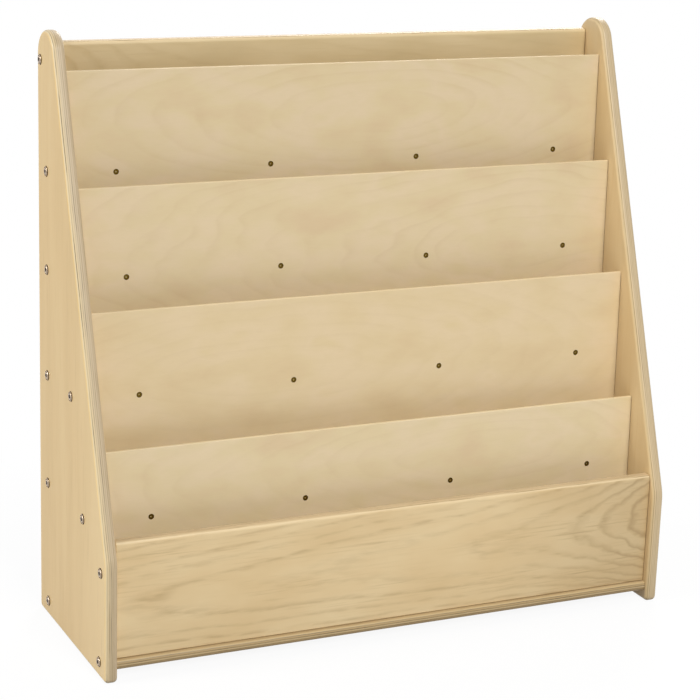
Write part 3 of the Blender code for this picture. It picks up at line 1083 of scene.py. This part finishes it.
def plated_steel(name, tones, roughness):
    material = new_material(name)
    tree = material.node_tree
    smooth, rough = roughness
    place = add_node(tree, "TexCoord", {})
    grain = grain_figure(tree, place.outputs["Object"], PLATE_GRAIN, 0, FINE)
    metal = add_node(tree, "ValToRGB", {"Fac": grain, "stops": zip(TONE_PLACES, tones)})
    shine = add_node(tree, "MapRange", {"Value": grain, "To Min": smooth, "To Max": rough})
    shader = tree.nodes["Principled BSDF"]
    shader.inputs["Metallic"].default_value = 1
    tree.links.new(metal.outputs["Color"], shader.inputs["Base Color"])
    tree.links.new(shine.outputs[0], shader.inputs["Roughness"])
    return material


def flat_head_bolt(skin, shade_painted_skin, socket_shade_skin):
    rings = [
        (BOLT_POINT / 2, -BOLT_LENGTH),
        (BOLT_SHANK / 2, -BOLT_LENGTH + BOLT_TIP),
        (BOLT_SHANK / 2, bolt_seat),
        (BOLT_HEAD / 2, bolt_seat),
        (BOLT_HEAD / 2, bolt_seat + SHADE_PAINTED_FOOT),
    ]
    for step in range(HEAD_EDGE_STEPS + 1):
        turned = step / HEAD_EDGE_STEPS * math.pi / 2
        inward = HEAD_EDGE * (1 - math.cos(turned))
        rings.append((BOLT_HEAD / 2 - inward, -HEAD_CROWN - HEAD_EDGE * (1 - math.sin(turned))))
    rings.append((BRIGHT_FACE / 2, -HEAD_CROWN / 2))
    rings.append((HEAD_MIDDLE / 2, 0))
    piece = turn_round("bolt_pattern", rings, BOLT_FACETS, skin)
    piece.data.materials.append(shade_painted_skin)
    bpy.ops.object.mode_set(mode="EDIT")
    bpy.ops.mesh.select_mode(type="FACE")
    bpy.ops.mesh.select_all(action="DESELECT")
    edit = bmesh.from_edit_mesh(piece.data)
    # The rim of the face and the foot of the head take the dark brown painted shade.
    for face in edit.faces:
        centre = face.calc_center_median()
        rim = face.normal.z > FACING_OUT and centre.xy.length > BRIGHT_FACE / 2
        foot = centre.z < bolt_seat + SHADE_PAINTED_FOOT
        face.select_set(centre.z > bolt_seat + SAME_PLACE and (rim or foot))
    bmesh.update_edit_mesh(piece.data)
    piece.active_material_index = 1
    bpy.ops.object.material_slot_assign()
    bpy.ops.object.mode_set(mode="OBJECT")
    corner = SOCKET_WIDTH / 2 / math.cos(math.pi / SOCKET_SIDES)
    socket = turn_round(
        "socket_cut",
        (
            (corner * SOCKET_FLOOR, -SOCKET_DEPTH - SOCKET_MOUTH),
            (corner, -SOCKET_DEPTH),
            (corner, -SOCKET_MOUTH),
            (corner + SOCKET_MOUTH * 2, SOCKET_MOUTH),
        ),
        SOCKET_SIDES,
        socket_shade_skin,
    )
    cut_away(piece, [socket])
    return piece


zinc = plated_steel("zinc_plated_steel", WOOD_TINTED_ZINC_TONES, ZINC_ROUGHNESS)
shade_painted_zinc = plated_steel("zinc_with_painted_shade_on_rim_and_foot", SHADE_PAINTED_ZINC_TONES, SHADE_PAINTED_ZINC_ROUGHNESS)
shade_painted_socket = plated_steel("zinc_with_painted_shade_in_socket", SOCKET_SHADE_TONES, SOCKET_ROUGHNESS)
bolt = flat_head_bolt(zinc, shade_painted_zinc, shade_painted_socket)
for node in nodes_of("left_bolt_") + nodes_of("right_bolt_"):
    finish_piece(copy_to(bolt, node + "_finished", bolt_place(node)), node)

# The sixteen panel screws: 3.5 mm countersunk steel screws with a brown passivated skin, driven below the
# face of each panel into the shelf behind it. The cross recess is painted pale, as a painted highlight.
CROSS_SPAN = 0.0022
CROSS_ARM = 0.0009
CROSS_DEPTH = 0.0014
SCREW_POINT = SCREW_SHANK / 6
SCREW_TIP = 0.006
SCREW_EDGE = 0.0002
SCREW_FACETS = 36
BROWN_TONES = ("4E3C14", "64501C", "7E6830")
BROWN_ROUGHNESS = (0.35, 0.5)
RECESS_HIGHLIGHT_TONES = ("B0A07C", "C4B592", "D6CAAA")
RECESS_HIGHLIGHT_ROUGHNESS = (0.25, 0.4)


def cross_head_screw(skin, recess_highlight_skin):
    piece = turn_round(
        "screw_pattern",
        (
            (SCREW_POINT / 2, -SCREW_LENGTH),
            (SCREW_SHANK / 2, -SCREW_LENGTH + SCREW_TIP),
            (SCREW_SHANK / 2, screw_neck),
            (SCREW_HEAD / 2, screw_shoulder),
            (SCREW_HEAD / 2, -SCREW_SUNK - SCREW_EDGE),
            (SCREW_HEAD / 2 - SCREW_EDGE, -SCREW_SUNK),
        ),
        SCREW_FACETS,
        skin,
    )
    for span, arm in ((CROSS_SPAN, CROSS_ARM), (CROSS_ARM, CROSS_SPAN)):
        slot_low = Vector((-span / 2, -arm / 2, -SCREW_SUNK - CROSS_DEPTH))
        slot_high = Vector((span / 2, arm / 2, CROSS_DEPTH))
        slot = saw_block("slot_cut", slot_low, slot_high, recess_highlight_skin)
        bpy.ops.object.mode_set(mode="OBJECT")
        cut_away(piece, [slot])
    return piece


brown_skin = plated_steel("brown_passivated_steel", BROWN_TONES, BROWN_ROUGHNESS)
highlight_painted_steel = plated_steel("highlight_painted_steel", RECESS_HIGHLIGHT_TONES, RECESS_HIGHLIGHT_ROUGHNESS)
screw = cross_head_screw(brown_skin, highlight_painted_steel)
for number in (1, 2, 3, 4):
    for node in nodes_of(f"panel_{number}_screw_"):
        finish_piece(copy_to(screw, node + "_finished", screw_place(node)), node)

for pattern in (bolt, screw, bolt_drill, dowel_drill, screw_drill):
    bpy.data.objects.remove(pattern)

# The floor: a plain white sheet that keeps the object's shadow. Seen straight or mirrored it is part lit
# and part its own white, so that the background is white. To the object it is a grey studio floor with
# an oval of white card before it, which throws light up into the slots.
FLOOR_SIZE = 60
FLOOR_ROUGHNESS = 0.9
SHADOW_WHITE = 0.92
SHADOW_REACH = (0.40, 0.9)
SHEET_WHITE = "F8F8F8"
CARD_MIDDLE = Vector((0, -1.0, 0))
CARD_SHAPE = Vector((0.5, 1, 1))
CARD_EDGE = (0.70, 0.85)
CARD_TO_FLOOR = ((0.0, "E0E0E0"), (1.0, "A0A0A0"))


def seen_or_mirrored(tree):
    """1 where a ray comes from the camera, straight or by a mirror or glass, and 0 where it is light."""
    ray = add_node(tree, "LightPath", {})
    seen = add_node(
        tree,
        "Math",
        {"operation": "ADD", 0: ray.outputs["Is Camera Ray"], 1: ray.outputs["Is Glossy Ray"]},
    )
    seen = add_node(
        tree,
        "Math",
        {
            "operation": "ADD",
            "use_clamp": True,
            0: seen.outputs[0],
            1: ray.outputs["Is Transmission Ray"],
        },
    )
    return seen.outputs[0]


bpy.ops.object.select_all(action="DESELECT")
bpy.ops.mesh.primitive_plane_add(size=FLOOR_SIZE)
floor = bpy.context.object
floor.name = "floor"
white_card = new_material("white_card")
tree = white_card.node_tree
card = tree.nodes["Principled BSDF"]
card.inputs["Roughness"].default_value = FLOOR_ROUGHNESS
lit_white = add_node(tree, "BsdfDiffuse", {"Color": linear_colour(SHEET_WHITE)})
own_white = add_node(tree, "Emission", {"Strength": 1.0})
place = add_node(tree, "TexCoord", {})
from_middle = add_node(tree, "VectorMath", {"operation": "LENGTH", 0: place.outputs["Object"]})
on_card = add_node(
    tree,
    "VectorMath",
    {"operation": "MULTIPLY_ADD", 0: place.outputs["Object"], 1: CARD_SHAPE, 2: -CARD_MIDDLE},
)
on_card = add_node(tree, "VectorMath", {"operation": "LENGTH", 0: on_card.outputs[0]})
off_card = add_node(
    tree,
    "MapRange",
    {"Value": on_card.outputs["Value"], "From Min": CARD_EDGE[0], "From Max": CARD_EDGE[1]},
)
sheet = add_node(tree, "ValToRGB", {"Fac": off_card.outputs[0], "stops": CARD_TO_FLOOR})
tree.links.new(sheet.outputs["Color"], card.inputs["Base Color"])
white_share = add_node(
    tree,
    "MapRange",
    {
        "Value": from_middle.outputs["Value"],
        "From Min": SHADOW_REACH[0],
        "From Max": SHADOW_REACH[1],
        "To Min": SHADOW_WHITE,
    },
)
white = add_node(
    tree, "MixShader", {0: white_share.outputs[0], 1: lit_white.outputs[0], 2: own_white.outputs[0]}
)
mixed = add_node(tree, "MixShader", {0: seen_or_mirrored(tree), 1: card.outputs[0], 2: white.outputs[0]})
tree.links.new(mixed.outputs[0], tree.nodes["Material Output"].inputs["Surface"])
floor.data.materials.append(white_card)

# Studio light: pale walls all round, as the world, and three large soft lamps. The one in front lights
# the panels down into their slots, one on the left lights that side, and a weaker one behind fills the
# back and the right. Each has its turn to the left of the front, its height angle and its watts.
WORLD_LIGHT = 0.20
WORLD_SEEN = 1.0
LAMP_AIM = Vector((0, 0, 0.4))
LAMP_DISTANCE = 10.0
LAMP_SIZE = 3.0
LAMPS = (
    ("front_lamp", math.radians(-2), math.radians(38), 705),
    ("left_lamp", math.radians(92), math.radians(28), 558),
    ("rear_lamp", math.radians(-145), math.radians(35), 420),
)

world = bpy.data.worlds.new("white_studio")
bpy.context.scene.world = world
world.use_nodes = True
tree = world.node_tree
level = add_node(
    tree, "Mix", {"data_type": "FLOAT", 0: seen_or_mirrored(tree), 2: WORLD_LIGHT, 3: WORLD_SEEN}
)
tree.nodes["Background"].inputs["Color"].default_value = (1, 1, 1, 1)
tree.links.new(level.outputs[0], tree.nodes["Background"].inputs["Strength"])

for name, turned_left, height, power in LAMPS:
    towards = Vector((-math.sin(turned_left), -math.cos(turned_left), 0)) * math.cos(height)
    towards.z = math.sin(height)
    bpy.ops.object.light_add(type="AREA", location=LAMP_AIM + towards * LAMP_DISTANCE)
    lamp = bpy.context.object
    lamp.name = name
    lamp.data.size = LAMP_SIZE
    lamp.data.energy = power
    lamp.rotation_euler = towards.to_track_quat("Z", "Y").to_euler()

# The camera, at the place and angle of the photograph: in front on the left, looking down, with a long
# lens and a slight roll. Its focal length is in pixels of the 700 pixel wide picture.
PICTURE_WIDTH = 700
SENSOR_WIDTH = 36
FOCAL_PIXELS = 2140.92
CAMERA_PLACE = Vector((-1.34359, -2.81112, 1.27393))
CAMERA_YAW = 0.44011
CAMERA_PITCH = 0.27067
CAMERA_ROLL = 0.0337

level_right = Vector((math.cos(CAMERA_YAW), -math.sin(CAMERA_YAW), 0))
level_ahead = Vector((math.sin(CAMERA_YAW), math.cos(CAMERA_YAW), 0))
ahead = level_ahead * math.cos(CAMERA_PITCH) - Vector((0, 0, math.sin(CAMERA_PITCH)))
upward = level_ahead * math.sin(CAMERA_PITCH) + Vector((0, 0, math.cos(CAMERA_PITCH)))
rolled_right = level_right * math.cos(CAMERA_ROLL) + upward * math.sin(CAMERA_ROLL)
rolled_up = upward * math.cos(CAMERA_ROLL) - level_right * math.sin(CAMERA_ROLL)
turn = Matrix((rolled_right, rolled_up, -ahead)).transposed()

bpy.ops.object.camera_add()
camera = bpy.context.object
camera.data.sensor_width = SENSOR_WIDTH
camera.data.lens = FOCAL_PIXELS / PICTURE_WIDTH * SENSOR_WIDTH
camera.matrix_world = Matrix.Translation(CAMERA_PLACE) @ turn.to_4x4()
bpy.context.scene.camera = camera
bpy.context.scene.view_settings.view_transform = "Standard"
